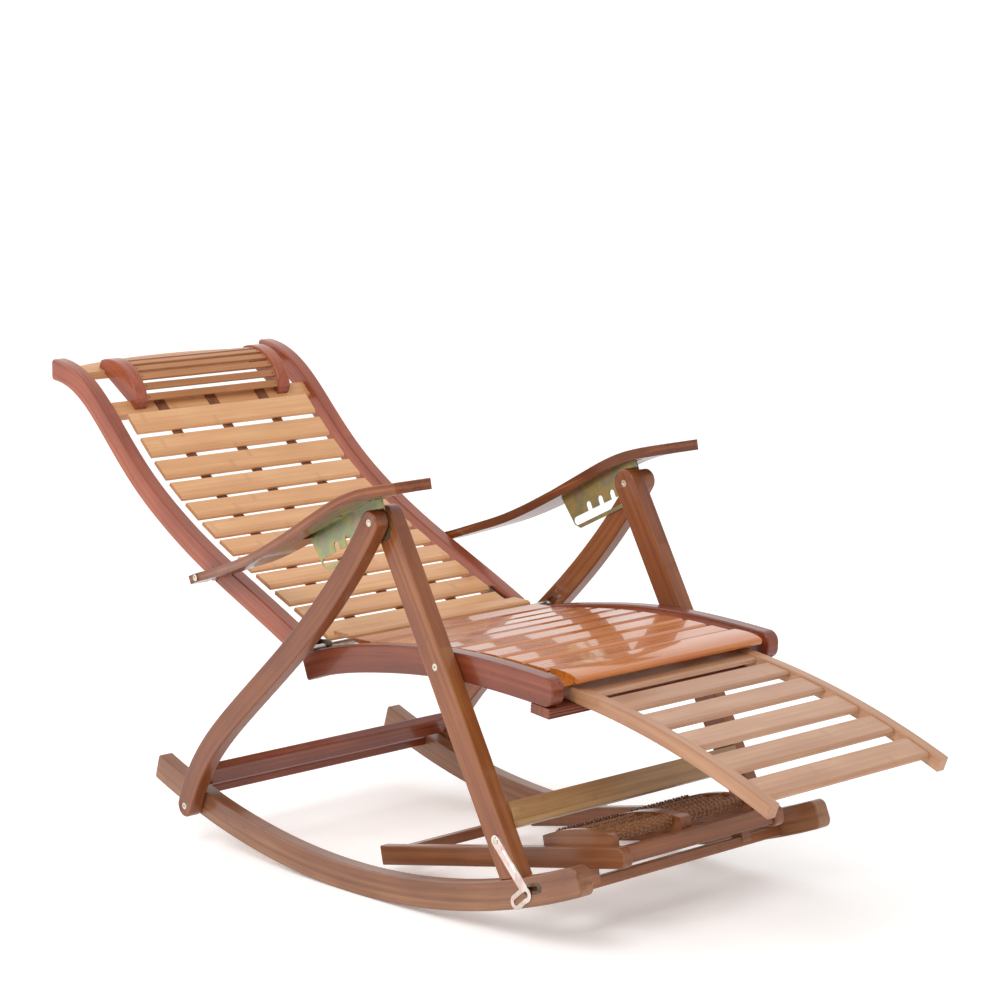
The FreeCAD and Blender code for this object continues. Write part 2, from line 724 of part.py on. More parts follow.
comb_y0, comb_y1 = -comb_inner - comb_thick, -comb_inner
comb = comb_polygon(
    [
        (0, 0),
        (comb_long, 0),
        (comb_long, comb_deep - 14),
        (comb_long - 12, comb_deep),
        (26, comb_deep),
        (14, comb_deep - 10),
    ],
    comb_y0,
    comb_y1,
)
slot = comb_polygon(
    [
        (22, channel_down - channel_half),
        (pin_along + notch_half, channel_down - channel_half),
        (pin_along + notch_half, channel_down + channel_half),
        (22, channel_down + channel_half),
    ],
    comb_y0 - 1,
    comb_y1 + 1,
)
slot = slot.fuse(pin(comb_frame(22, channel_down), channel_half, comb_y0 - 1, comb_y1 + 1))
for k in range(5):
    spot = pin_along - notch_pitch * k
    slot = slot.fuse(
        comb_polygon(
            [
                (spot - notch_half, pin_down),
                (spot + notch_half, pin_down),
                (spot + notch_half, channel_down),
                (spot - notch_half, channel_down),
            ],
            comb_y0 - 1,
            comb_y1 + 1,
        )
    )
    slot = slot.fuse(pin(comb_frame(spot, pin_down), notch_half, comb_y0 - 1, comb_y1 + 1))
comb = comb.cut(slot)
flange = comb_polygon([(0, 0), (comb_long, 0), (comb_long, -2), (0, -2)], comb_y0 - 16, comb_y1)
comb = comb.fuse(flange).removeSplitter()
comb_seat = [(0, 30), (comb_long, 30), (comb_long, -2), (0, -2)]
armrest = armrest.cut(comb_polygon(comb_seat, comb_y0 - 16, comb_y1))
armrest = armrest.cut(bolt_room(arm_pivot, -arm_rear_outer, -arm_inner + 1, running_fit))
for spot in (20, comb_long / 2, comb_long - 20):
    centre = comb_frame(spot, 0)
    axis = Vector(-math.sin(math.radians(flange_angle)), 0, math.cos(math.radians(flange_angle)))
    screw = Part.makeCylinder(2.5, 12, at(centre, comb_y0 - 8), axis)
    head = Part.makeCylinder(4.5, 1.5, at(centre, comb_y0 - 8), axis * -1)
    armrest = armrest.cut(screw)
    comb = comb.fuse(screw).fuse(head)
comb = comb.removeSplitter()
export(armrest, "armrest_right")
export(mirrored(armrest), "armrest_left")
export(comb, "armrest_comb_right")
export(mirrored(comb), "armrest_comb_left")
arm_bolt = bolt(arm_pivot, -arm_rear_outer, -rail_inner - 5)
arm_spacer = pin(arm_pivot, 11.0, -arm_inner + 0.2, -rail_outer - 0.2)
arm_spacer = arm_spacer.cut(pin(arm_pivot, bolt_radius, -arm_inner - 1, -rail_outer + 1))
arm_bolt = arm_bolt.fuse(arm_spacer).removeSplitter()
export(arm_bolt, "arm_bolt_right")
export(mirrored(arm_bolt), "arm_bolt_left")

# footrest, drawn out from under the seat over the guide bar
foot_line = [
    foot_point(foot_start[0] + (foot_end[0] - foot_start[0]) * i / 6.0) for i in range(7)
]
foot_face = ribbon(foot_line, foot_half, samples=9)
foot_rail = raised(foot_face, -footrest_half, -footrest_half + footrest_rail_thick)
foot_rail = soften(foot_rail, 3.0)
export(foot_rail, "footrest_rail_right")
export(mirrored(foot_rail), "footrest_rail_left")
foot_curve = spline(foot_line)
foot_slats = []
inner = footrest_half - footrest_rail_thick
foot_count = 6
span = foot_curve.length() - 16
for i in range(foot_count):
    spot, angle = along(foot_curve, 8 + span * (i + 0.5) / foot_count)
    a = math.radians(angle)
    top = (spot[0] - (foot_half - 3) * math.sin(a), spot[1] + (foot_half - 3) * math.cos(a))
    foot_slats.append(slat(top, angle, 52, inner))
export(Part.makeCompound(foot_slats), "footrest_slats")

# foot massager frame standing on the rocker's front crossbar
mass_angle = 12.9
mass_half = 17.0
mass_lift = 44.5


def mass_z(x):
    return front_bar_point[1] + mass_lift + (x - front_bar_point[0]) * math.tan(math.radians(mass_angle))


mass_rear_x, mass_front_x = -26.0, 574.0
mass_mid = (mass_rear_x + mass_front_x) / 2
mass_long = (mass_front_x - mass_rear_x) / math.cos(math.radians(mass_angle))
mass_rail = Part.makeBox(mass_long, massage_rail_thick, 2 * mass_half, Vector(-mass_long / 2, 0, -mass_half))
for corner, x in ((2.0, -mass_long / 2), (13.0, mass_long / 2)):
    ends = [e for e in mass_rail.Edges if all(abs(v.Point.x - x) < 1e-3 for v in e.Vertexes)]
    mass_rail = mass_rail.makeFillet(corner, [e for e in ends if abs(e.tangentAt(0).y) > 0.9])
mass_rail.rotate(Vector(0, 0, 0), Vector(0, 1, 0), -mass_angle)
mass_rail.translate(at((mass_mid, mass_z(mass_mid)), -massage_half))
mass_rail = soften(mass_rail, 3.0)
export(mass_rail, "massager_rail_right")
export(mirrored(mass_rail), "massager_rail_left")
inner = massage_half - massage_rail_thick
mass_bar_room = 18.0
mass_bar_x = mass_front_x - mass_bar_room
mass_front_bar = bar((mass_bar_x, mass_z(mass_bar_x) + 2), mass_angle, 24, 26, -inner, inner)
mass_bar_x = mass_rear_x + mass_bar_room
mass_rear_bar = bar((mass_bar_x, mass_z(mass_bar_x)), mass_angle, 24, 18, -inner, inner)
export(mass_front_bar, "massager_front_bar")


def mass_frame(x, lift):
    a = math.radians(mass_angle)
    return (x - lift * math.sin(a), mass_z(x) + lift * math.cos(a))


# two blocks of rollers side by side, held between three arched plates
block_x = (372.0, 534.0)
plate_lift = (-6.0, 42.0)
roller_radius = 12.0
roller_lift = 29.0
roller_count = 4
roller_step = (block_x[1] - block_x[0] - 48) / (roller_count - 1.0)
roller_places = [block_x[0] + 24 + roller_step * i for i in range(roller_count)]
plate_outline = [
    Part.makeLine(at(mass_frame(block_x[0], plate_lift[0])), at(mass_frame(block_x[1], plate_lift[0]))),
    Part.makeLine(at(mass_frame(block_x[1], plate_lift[0])), at(mass_frame(block_x[1], plate_lift[1] - 10))),
    Part.Arc(
        at(mass_frame(block_x[1], plate_lift[1] - 10)),
        at(mass_frame((block_x[0] + block_x[1]) / 2, plate_lift[1])),
        at(mass_frame(block_x[0], plate_lift[1] - 10)),
    ).toShape(),
    Part.makeLine(at(mass_frame(block_x[0], plate_lift[1] - 10)), at(mass_frame(block_x[0], plate_lift[0]))),
]
block_face = Part.Face(Part.Wire(plate_outline))
plates = []
for y0, y1 in ((-inner, -inner + 12), (-12, 12), (inner - 12, inner)):
    plate = raised(block_face, y0, y1)
    for x in roller_places:
        for face, way in ((y0, 1), (y1, -1)):
            if abs(face) < inner - 1:
                axle_room = pin(mass_frame(x, roller_lift), 3.0 + running_fit, face - 2 * way, face + 6 * way)
                plate = plate.cut(axle_room)
    plates.append(plate)
export(Part.makeCompound(plates), "massager_block_plates")
for side, name in ((-1, "right"), (1, "left")):
    for i, x in enumerate(roller_places):
        y0, y1 = (-inner + 12, -12) if side < 0 else (12, inner - 12)
        centre = mass_frame(x, roller_lift)
        roller = pin(centre, 3.0, y0 - 5.5, y1 + 5.5)
        body = pin(centre, roller_radius - 2, y0 + 0.4, y1 - 0.4)
        count = 9
        pitch = (y1 - y0 - 4) / count
        for k in range(count):
            ridge = pin(centre, roller_radius, y0 + 2 + pitch * k + 1.5, y0 + 2 + pitch * (k + 1) - 1.5)
            body = body.fuse(ridge)
        export(roller.fuse(body).removeSplitter(), "roller_%s_%d" % (name, i + 1))
deck_bar = bar((block_x[0] - 14, mass_z(block_x[0] - 14) - 1), mass_angle, 24, 18, -inner, inner)
# spacer blocks between the rockers' front crossbar and the massager rails
block_mid = (front_bar_point[0] + 2, front_bar_point[1] + mass_lift / 2)
block = bar(block_mid, mass_angle, 26, mass_lift, -massage_half, -inner, 0)
block = block.cut(rocker_bar_front).cut(mass_rail)
block = max(block.Solids, key=lambda solid: solid.Volume)
export(Part.makeCompound([mass_rear_bar, deck_bar, block, mirrored(block)]), "massager_cross_bars")

# settle the chair on its rockers and put the frame's origin under its middle
everything = []
for name, shape in pieces.items():
    settled = shape.copy()
    settled.rotate(Vector(rocker_low_x, 0, rocker_radius), Vector(0, 1, 0), rest_roll)
    pieces[name] = settled
    everything.append(settled)
box = Part.makeCompound(everything).optimalBoundingBox(False, False)
shift = Vector(-(box.XMin + box.XMax) / 2, 0, 0)
print("box before the shift", box.XMin, box.XMax, box.YMin, box.YMax, box.ZMin, box.ZMax)
for name, shape in pieces.items():
    shape.translate(shift)
    shape.exportStep("parts/%s.step" % name)
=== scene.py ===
import json
import math

import bmesh
import bpy
import numpy as np
from mathutils import Matrix, Vector


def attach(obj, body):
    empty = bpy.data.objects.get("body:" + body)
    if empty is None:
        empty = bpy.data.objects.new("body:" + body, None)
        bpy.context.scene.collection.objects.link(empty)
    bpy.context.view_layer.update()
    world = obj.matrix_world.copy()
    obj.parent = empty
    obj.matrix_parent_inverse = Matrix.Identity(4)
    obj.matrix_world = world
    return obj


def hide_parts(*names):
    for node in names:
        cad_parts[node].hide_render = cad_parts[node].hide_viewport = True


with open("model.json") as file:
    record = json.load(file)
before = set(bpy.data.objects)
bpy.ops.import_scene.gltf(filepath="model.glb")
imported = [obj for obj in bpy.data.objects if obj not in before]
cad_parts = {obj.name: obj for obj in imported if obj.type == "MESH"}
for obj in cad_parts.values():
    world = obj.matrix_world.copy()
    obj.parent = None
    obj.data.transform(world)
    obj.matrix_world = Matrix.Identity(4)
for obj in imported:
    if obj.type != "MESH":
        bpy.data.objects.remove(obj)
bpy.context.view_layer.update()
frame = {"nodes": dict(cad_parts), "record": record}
nodes = frame["nodes"]
bodyOf = {n: b for b, members in frame["record"]["behaviour"]["bodies"].items() for n in members}
scene = bpy.context.scene
print("frame loaded:", len(nodes), "nodes")


# where the drawing sits in the frame
settle = {
    "roll": 2.7035,  # degrees the chair rolls forward until it balances
    "arcCentre": (-0.060, 0.0, 1.600),
    "shift": 0.057413,
}
arcCentre = Vector(settle["arcCentre"])
toFrame = (
    Matrix.Translation((settle["shift"], 0, 0))
    @ Matrix.Translation(arcCentre)
    @ Matrix.Rotation(math.radians(settle["roll"]), 4, "Y")
    @ Matrix.Translation(-arcCentre)
)
fromFrame = toFrame.inverted()

# camera
cameraSet = {
    "azimuth": 48.553,
    "elevation": 11.905,
    "distance": 4.535,
    "target": (0.1179, 0.0, 0.5085),
    "lens": 97.2,
    "shiftX": -0.0153,
    "shiftY": 0.0837,
}
az, el = math.radians(cameraSet["azimuth"]), math.radians(cameraSet["elevation"])
away = Vector((math.cos(el) * math.sin(az), -math.cos(el) * math.cos(az), math.sin(el)))
lookFrom = Vector(cameraSet["target"]) + away * cameraSet["distance"]
camera = bpy.data.objects.new("camera", bpy.data.cameras.new("camera"))
scene.collection.objects.link(camera)
camera.data.lens = cameraSet["lens"]
camera.data.sensor_width = 36
camera.data.shift_x = cameraSet["shiftX"]
camera.data.shift_y = cameraSet["shiftY"]
camera.data.clip_end = 50
camera.matrix_world = toFrame @ (
    Matrix.Translation(lookFrom) @ away.to_track_quat("Z", "Y").to_matrix().to_4x4()
)
scene.camera = camera
print("camera placed")


# materials
def srgb(code):
    # sRGB hex to the linear values that the shader takes
    raw = [int(code[i : i + 2], 16) / 255 for i in (1, 3, 5)]
    return [c / 12.92 if c <= 0.04045 else ((c + 0.055) / 1.055) ** 2.4 for c in raw] + [1.0]


def addNode(tree, kind, inputs=None, **settings):
    node = tree.nodes.new(kind)
    for key, value in settings.items():
        setattr(node, key, value)
    for key, value in (inputs or {}).items():
        socket = node.inputs[key]
        if isinstance(value, bpy.types.NodeSocket):
            tree.links.new(value, socket)
        else:
            socket.default_value = value
    return node


def newMaterial(name):
    material = bpy.data.materials.new(name)
    material.use_nodes = True
    tree = material.node_tree
    tree.nodes.clear()
    shader = addNode(tree, "ShaderNodeBsdfPrincipled")
    addNode(tree, "ShaderNodeOutputMaterial", {"Surface": shader.outputs[0]})
    return material, tree, shader


mm = 0.001


def varnishedBamboo(name, look):
    # strips of carbonised bamboo glued side by side and varnished: long fine fibres, a slightly
    # different tone in each strip, and a dark knuckle line where the cane had a joint
    material, tree, shader = newMaterial(name)
    grain = addNode(tree, "ShaderNodeAttribute", attribute_name="grain")
    parts = addNode(tree, "ShaderNodeSeparateXYZ", {0: grain.outputs["Vector"]})
    seed = addNode(tree, "ShaderNodeAttribute", attribute_name="seed")

    def stretched(alongMm, acrossMm):
        return addNode(
            tree,
            "ShaderNodeVectorMath",
            {0: grain.outputs["Vector"], 1: (1 / (alongMm * mm), 1 / (acrossMm * mm), 1 / (acrossMm * mm))},
            operation="MULTIPLY",
        ).outputs[0]

    def noise(alongMm, acrossMm, detail, rough):
        return addNode(
            tree,
            "ShaderNodeTexNoise",
            {"Vector": stretched(alongMm, acrossMm), "Scale": 1.0, "Detail": detail, "Roughness": rough},
        )

    def maths(operation, *values):
        return addNode(tree, "ShaderNodeMath", dict(enumerate(values)), operation=operation).outputs[0]

    fibre = noise(90, 1.1, 3.0, 0.6)
    streak = noise(260, 7, 2.0, 0.5)
    cloud = noise(120, 45, 2.0, 0.5)
    # which glued strip a point lies in, and that strip's own tone
    stripAt = maths("DIVIDE", parts.outputs[look["stripAxis"]], look["strip"] * mm)
    strip = maths("FLOOR", maths("ADD", stripAt, seed.outputs["Fac"]))
    tone = addNode(tree, "ShaderNodeTexWhiteNoise", {"W": strip}, noise_dimensions="1D")
    # knuckle lines, each strip's shifted by its own amount
    knuckle = maths("MULTIPLY_ADD", tone.outputs["Value"], 7.3, seed.outputs["Fac"])
    knuckle = maths("MULTIPLY_ADD", parts.outputs[0], 1 / (look["knuckle"] * mm), knuckle)
    knuckle = maths("ABSOLUTE", maths("SUBTRACT", maths("FRACT", knuckle), 0.5))
    knuckle = addNode(
        tree,
        "ShaderNodeMapRange",
        {
            "Value": knuckle,
            "From Min": 0.0,
            "From Max": look["knuckleWide"] / look["knuckle"],
            "To Min": 1.0,
            "To Max": 0.0,
        },
        interpolation_type="SMOOTHSTEP",
    )
    knuckle = maths("MULTIPLY", knuckle.outputs[0], streak.outputs["Fac"])
    # tone = fibres + streaks + clouds + strip + board
    mixed = maths("MULTIPLY_ADD", fibre.outputs["Fac"], look["fibre"], 0.5 - look["fibre"] / 2)
    for source, weight in (
        (streak.outputs["Fac"], look["streak"]),
        (cloud.outputs["Fac"], look["cloud"]),
        (tone.outputs["Value"], look["stripTone"]),
        (seed.outputs["Fac"], look["boardTone"]),
    ):
        mixed = maths("MULTIPLY_ADD", maths("SUBTRACT", source, 0.5), weight, mixed)
    ramp = addNode(tree, "ShaderNodeValToRGB", {0: mixed})
    ramp.color_ramp.elements[0].position = 0.2
    ramp.color_ramp.elements[0].color = srgb(look["dark"])
    ramp.color_ramp.elements[1].position = 0.8
    ramp.color_ramp.elements[1].color = srgb(look["light"])
    middle = ramp.color_ramp.elements.new(0.5)
    middle.color = srgb(look["base"])
    marked = addNode(
        tree, "ShaderNodeMix", {6: ramp.outputs["Color"], 7: srgb(look["mark"])}, data_type="RGBA"
    )
    tree.links.new(maths("MULTIPLY", knuckle, look["knuckleDark"]), marked.inputs[0])
    bump = addNode(
        tree,
        "ShaderNodeBump",
        {"Height": fibre.outputs["Fac"], "Strength": look["bump"], "Distance": 0.15 * mm},
    )
    wave = addNode(
        tree, "ShaderNodeTexNoise", {"Vector": stretched(70, 22), "Scale": 1.0, "Detail": 1.0}
    )
    ripple = addNode(
        tree,
        "ShaderNodeBump",
        {"Height": wave.outputs["Fac"], "Strength": look["ripple"], "Distance": 0.6 * mm},
    )
    rough = addNode(
        tree,
        "ShaderNodeMapRange",
        {
            "Value": streak.outputs["Fac"],
            "From Min": 0.3,
            "From Max": 0.7,
            "To Min": look["rough"] * 0.8,
            "To Max": look["rough"] * 1.2,
        },
    )
    for socket, value in (
        ("IOR", 1.5),
        ("Specular IOR Level", look["gloss"]),
        ("Coat Weight", look["coat"]),
        ("Coat Roughness", look["coatRough"]),
        ("Coat IOR", 1.52),
    ):
        shader.inputs[socket].default_value = value
    tree.links.new(marked.outputs[2], shader.inputs["Base Color"])
    tree.links.new(rough.outputs[0], shader.inputs["Roughness"])
    tree.links.new(bump.outputs[0], shader.inputs["Normal"])
    tree.links.new(ripple.outputs[0], shader.inputs["Coat Normal"])
    return material


bambooLook = {
    "strip": 23,
    "stripAxis": 1,
    "knuckle": 900,
    "knuckleWide": 9.0,
    "knuckleDark": 0.3,
    "fibre": 0.35,
    "streak": 0.5,
    "cloud": 0.35,
    "stripTone": 0.12,
    "boardTone": 0.16,
    "bump": 0.25,
    "ripple": 0.06,
    "rough": 0.42,
    "gloss": 0.3,
    "coat": 0.35,
    "coatRough": 0.14,
}
bambooSlat = varnishedBamboo(
    "bambooSlatVarnished",
    {
        **bambooLook, "dark": "#bb8457", "base": "#d09a6b", "light": "#deb384", "mark": "#8a5a3a",
        "rough": 0.5, "coat": 0.25, "coatRough": 0.22,
    },
)
bambooHead = varnishedBamboo(
    "bambooHeadrestStrips",
    {
        **bambooLook, "dark": "#945c34", "base": "#a86e41", "light": "#b88253", "mark": "#6d4229",
        "rough": 0.45, "coat": 0.3, "coatRough": 0.2,
    },
)
bambooSeat = varnishedBamboo(
    "bambooSeatHighGloss",
    {
        **bambooLook, "dark": "#984b11", "base": "#b56118", "light": "#ca7d2a", "mark": "#7a3c14",
        "rough": 0.3, "gloss": 0.4, "coat": 0.7, "coatRough": 0.035, "ripple": 0.1,
    },
)
bambooRail = varnishedBamboo(
    "bambooRailCarbonised",
    {
        **bambooLook, "dark": "#562212", "base": "#71311a", "light": "#8e4528", "mark": "#401b14",
        "strip": 6, "stripTone": 0.2, "rough": 0.34, "coatRough": 0.1,
    },
)
bambooBack = varnishedBamboo(
    "bambooBackRailCarbonised",
    {
        **bambooLook, "dark": "#743523", "base": "#964a2f", "light": "#b26341", "mark": "#502419",
        "strip": 6, "stripTone": 0.2, "rough": 0.34, "coatRough": 0.1,
    },
)
bambooLeg = varnishedBamboo(
    "bambooLegCarbonised",
    {
        **bambooLook, "dark": "#642e14", "base": "#7e4421", "light": "#955c30", "mark": "#552818",
        "strip": 6, "stripTone": 0.16, "rough": 0.36, "coatRough": 0.1,
    },
)
bambooRocker = varnishedBamboo(
    "bambooRockerCarbonised",
    {
        **bambooLook, "dark": "#663a27", "base": "#835437", "light": "#9b704d", "mark": "#402014",
        "strip": 6, "stripTone": 0.2, "rough": 0.36, "coatRough": 0.12,
    },
)
bambooArm = varnishedBamboo(
    "bambooArmLaminated",
    {
        **bambooLook, "dark": "#5d2a0b", "base": "#804117", "light": "#9e5d25", "mark": "#4d2c1a",
        "strip": 5, "stripTone": 0.5, "rough": 0.34, "coatRough": 0.08,
    },
)
bambooFoot = varnishedBamboo(
    "bambooFootrestVarnished",
    {
        **bambooLook, "dark": "#99694a", "base": "#b08262", "light": "#c6a080", "mark": "#7a4a32",
        "rough": 0.4, "coatRough": 0.16,
    },
)
bambooBar = varnishedBamboo(
    "bambooCrossbarOlive",
    {
        **bambooLook, "dark": "#7e5937", "base": "#9d764b", "light": "#b69568", "mark": "#5c4023",
        "strip": 10, "stripTone": 0.2, "rough": 0.4, "coatRough": 0.14,
    },
)
bambooBrown = varnishedBamboo(
    "bambooCrossbarBrown",
    {
        **bambooLook, "dark": "#67391f", "base": "#844f2e", "light": "#9e6842", "mark": "#42241a",
        "strip": 10, "stripTone": 0.2, "rough": 0.4, "coatRough": 0.14,
    },
)
bambooRoller = varnishedBamboo(
    "bambooRollerTurned",
    {
        **bambooLook, "dark": "#683e24", "base": "#865736", "light": "#a2744d", "mark": "#5c3823",
        "coatRough": 0.25,
    },
)


def platedMetal(name, look):
    # pressed sheet or turned steel with a thin bright plating: cloudy tone, faint drawing marks
    material, tree, shader = newMaterial(name)
    place = addNode(tree, "ShaderNodeTexCoord")
    cloud = addNode(
        tree,
        "ShaderNodeTexNoise",
        {
            "Vector": place.outputs["Object"],
            "Scale": 1 / (look["cloud"] * mm),
            "Detail": 3.0,
            "Roughness": 0.55,
        },
    )
    drawn = addNode(
        tree,
        "ShaderNodeVectorMath",
        {0: place.outputs["Object"], 1: look["drawn"]},
        operation="MULTIPLY",
    )
    lines = addNode(tree, "ShaderNodeTexNoise", {"Vector": drawn.outputs[0], "Scale": 1.0, "Detail": 2.0})
    ramp = addNode(tree, "ShaderNodeValToRGB", {0: cloud.outputs["Fac"]})
    stops = look["colours"]
    for i, code in enumerate(stops):
        position = 0.3 + 0.4 * i / (len(stops) - 1)
        element = ramp.color_ramp.elements[i] if i < 2 else ramp.color_ramp.elements.new(position)
        element.position = position
        element.color = srgb(code)
    rough = addNode(
        tree,
        "ShaderNodeMapRange",
        {"Value": lines.outputs["Fac"], "To Min": look["rough"] * 0.7, "To Max": look["rough"] * 1.3},
    )
    bump = addNode(
        tree, "ShaderNodeBump", {"Height": lines.outputs["Fac"], "Strength": 0.15, "Distance": 0.05 * mm}
    )
    shader.inputs["Metallic"].default_value = 1.0
    tree.links.new(ramp.outputs["Color"], shader.inputs["Base Color"])
    tree.links.new(rough.outputs[0], shader.inputs["Roughness"])
    tree.links.new(bump.outputs[0], shader.inputs["Normal"])
    return material


zincPlate = platedMetal(
    "zincYellowPassivated",
    {
        "colours": ["#929971", "#aca171", "#8a967c", "#ae937c"], "cloud": 34,
        "drawn": (150, 60, 900), "rough": 0.32,
    },
)
nickelBolt = platedMetal(
    "nickelPlatedSteel",
    {
        "colours": ["#b9b2a2", "#d8d2c4"], "cloud": 5, "drawn": (900, 900, 900), "rough": 0.24,
    },
)
steelRod = platedMetal(
    "steelDrawnBright",
    {
        "colours": ["#a8a8a6", "#c4c4c0"], "cloud": 12, "drawn": (1500, 12, 1500), "rough": 0.26,
    },
)
bronzePlate = platedMetal(
    "steelDarkBronzed",
    {
        "colours": ["#4f4235", "#766452"], "cloud": 9, "drawn": (500, 500, 500), "rough": 0.34,
    },
)
catchNickel = platedMetal(
    "nickelCatchBright",
    {
        "colours": ["#b4bfa8", "#e0d4cf", "#d2b3ae", "#c2cdb4"], "cloud": 32,
        "drawn": (700, 500, 200), "rough": 0.22,
    },
)


def strapLeather(name):
    # brown leather strap: pebbled grain about 1.5 mm, its tone lighter and darker in soft patches about 18
    # mm across
    material, tree, shader = newMaterial(name)
    place = addNode(tree, "ShaderNodeTexCoord")
    pebble = addNode(
        tree,
        "ShaderNodeTexVoronoi",
        {"Vector": place.outputs["Object"], "Scale": 1 / (1.6 * mm)},
        feature="F1",
    )
    cloud = addNode(
        tree,
        "ShaderNodeTexNoise",
        {"Vector": place.outputs["Object"], "Scale": 1 / (18 * mm), "Detail": 3.0},
    )
    ramp = addNode(tree, "ShaderNodeValToRGB", {0: cloud.outputs["Fac"]})
    ramp.color_ramp.elements[0].position = 0.3
    ramp.color_ramp.elements[0].color = srgb("#5a3018")
    ramp.color_ramp.elements[1].position = 0.7
    ramp.color_ramp.elements[1].color = srgb("#8a5430")
    bump = addNode(
        tree,
        "ShaderNodeBump",
        {"Height": pebble.outputs["Distance"], "Strength": 0.5, "Distance": 0.25 * mm},
    )
    tree.links.new(ramp.outputs["Color"], shader.inputs["Base Color"])
    tree.links.new(bump.outputs[0], shader.inputs["Normal"])
    shader.inputs["Roughness"].default_value = 0.55
    return material


leather = strapLeather("leatherStrapBrown")
print("materials made")


# boards: merged copies of the drawing's solids that carry their own grain direction
lines = {
    "rearLeg": [(115, 650), (32, 541), (-95, 411), (-275, 254), (-368, 160), (-425, 60)],
    "frontLeg": [(115, 650), (438, 134)],
    "seatRail": [(-140, 357), (-50, 386), (42, 405), (146, 421), (250, 430.5), (350, 432.5), (488, 428)],
    "backRail": [
        (-146, 386), (-200, 409), (-310, 453), (-455, 513), (-541, 557), (-628, 612), (-717, 687),
        (-812, 764), (-912, 792),
    ],
    "armrest": [
        (-420, 470), (-400, 478), (-357, 491), (-300, 510), (-216, 539), (-125, 579), (-44, 620), (30, 660),
        (101, 692.5), (150, 707), (213, 721.5),
    ],
    "massager": [(-26, 34.9), (574, 172.3)],
}
arcs = {"rocker": ((-60, 1600), 1576, -1), "footrest": ((333.53, -1166.69), 1590, 1)}


def smoothLine(points, perSpan=14):
    # Catmull-Rom through the points, in metres, run on a little past both ends
    p = np.array(points, float) * mm
    p = np.vstack([2 * p[0] - p[1], p, 2 * p[-1] - p[-2]])
    found = []
    for i in range(1, len(p) - 2):
        for t in np.linspace(0, 1, perSpan, endpoint=False):
            a, b, c, d = p[i - 1 : i + 3]
            square, cube = 2 * a - 5 * b + 4 * c - d, 3 * b - a - 3 * c + d
            found.append(0.5 * (2 * b + (c - a) * t + square * t**2 + cube * t**3))
    found.append(p[-2])
    found = np.array(found)
    first = found[0] - (found[1] - found[0]) / np.linalg.norm(found[1] - found[0]) * 0.08
    last = found[-1] + (found[-1] - found[-2]) / np.linalg.norm(found[-1] - found[-2]) * 0.08
    return np.vstack([first, found, last])


def grainOf(co, line):
    # distance along the board, distance off its middle line, and place across the chair
    if line in arcs:
        (cx, cz), radius, way = arcs[line]
        dx, dz = co[:, 0] - cx * mm, co[:, 2] - cz * mm
        angle = np.arctan2(dx, way * dz)
        return np.stack([angle * radius * mm, np.hypot(dx, dz) - radius * mm, co[:, 1]], 1)
    path = smoothLine(lines[line])
    a, b = path[:-1], path[1:]
    d = b - a
    size = np.linalg.norm(d, axis=1)
    d = d / size[:, None]
    start = np.concatenate([[0], np.cumsum(size)[:-1]])
    xz = co[:, (0, 2)]
    rel = xz[:, None, :] - a[None]
    t = np.clip((rel * d[None]).sum(2), 0, size[None])
    off = rel - d[None] * t[..., None]
    best = np.argmin((off**2).sum(2), axis=1)
    rows = np.arange(len(xz))
    o, way = off[rows, best], d[best]
    side = way[:, 0] * o[:, 1] - way[:, 1] * o[:, 0]
    return np.stack([start[best] + t[rows, best], side, co[:, 1]], 1)


def islands(shape):
    shape.verts.ensure_lookup_table()
    seen, groups = set(), []
    for v in shape.verts:
        if v.index in seen:
            continue
        stack, group = [v], []
        seen.add(v.index)
        while stack:
            u = stack.pop()
            group.append(u.index)
            for e in u.link_edges:
                w = e.other_vert(u)
                if w.index not in seen:
                    seen.add(w.index)
                    stack.append(w)
        groups.append(group)
    return groups


def storeGrain(mesh, grain, seeds):
    vectors = mesh.attributes.new("grain", "FLOAT_VECTOR", "POINT")
    vectors.data.foreach_set("vector", grain.astype(np.float32).ravel())
    values = mesh.attributes.new("seed", "FLOAT", "POINT")
    values.data.foreach_set("value", seeds.astype(np.float32))


def mergedCopy(node, name):
    mesh = nodes[node].data.copy()
    mesh.materials.clear()
    shape = bmesh.new()
    shape.from_mesh(mesh)
    bmesh.ops.remove_doubles(shape, verts=shape.verts, dist=2e-6)
    shape.to_mesh(mesh)
    shape.free()
    piece = bpy.data.objects.new(name, mesh)
    scene.collection.objects.link(piece)
    return piece


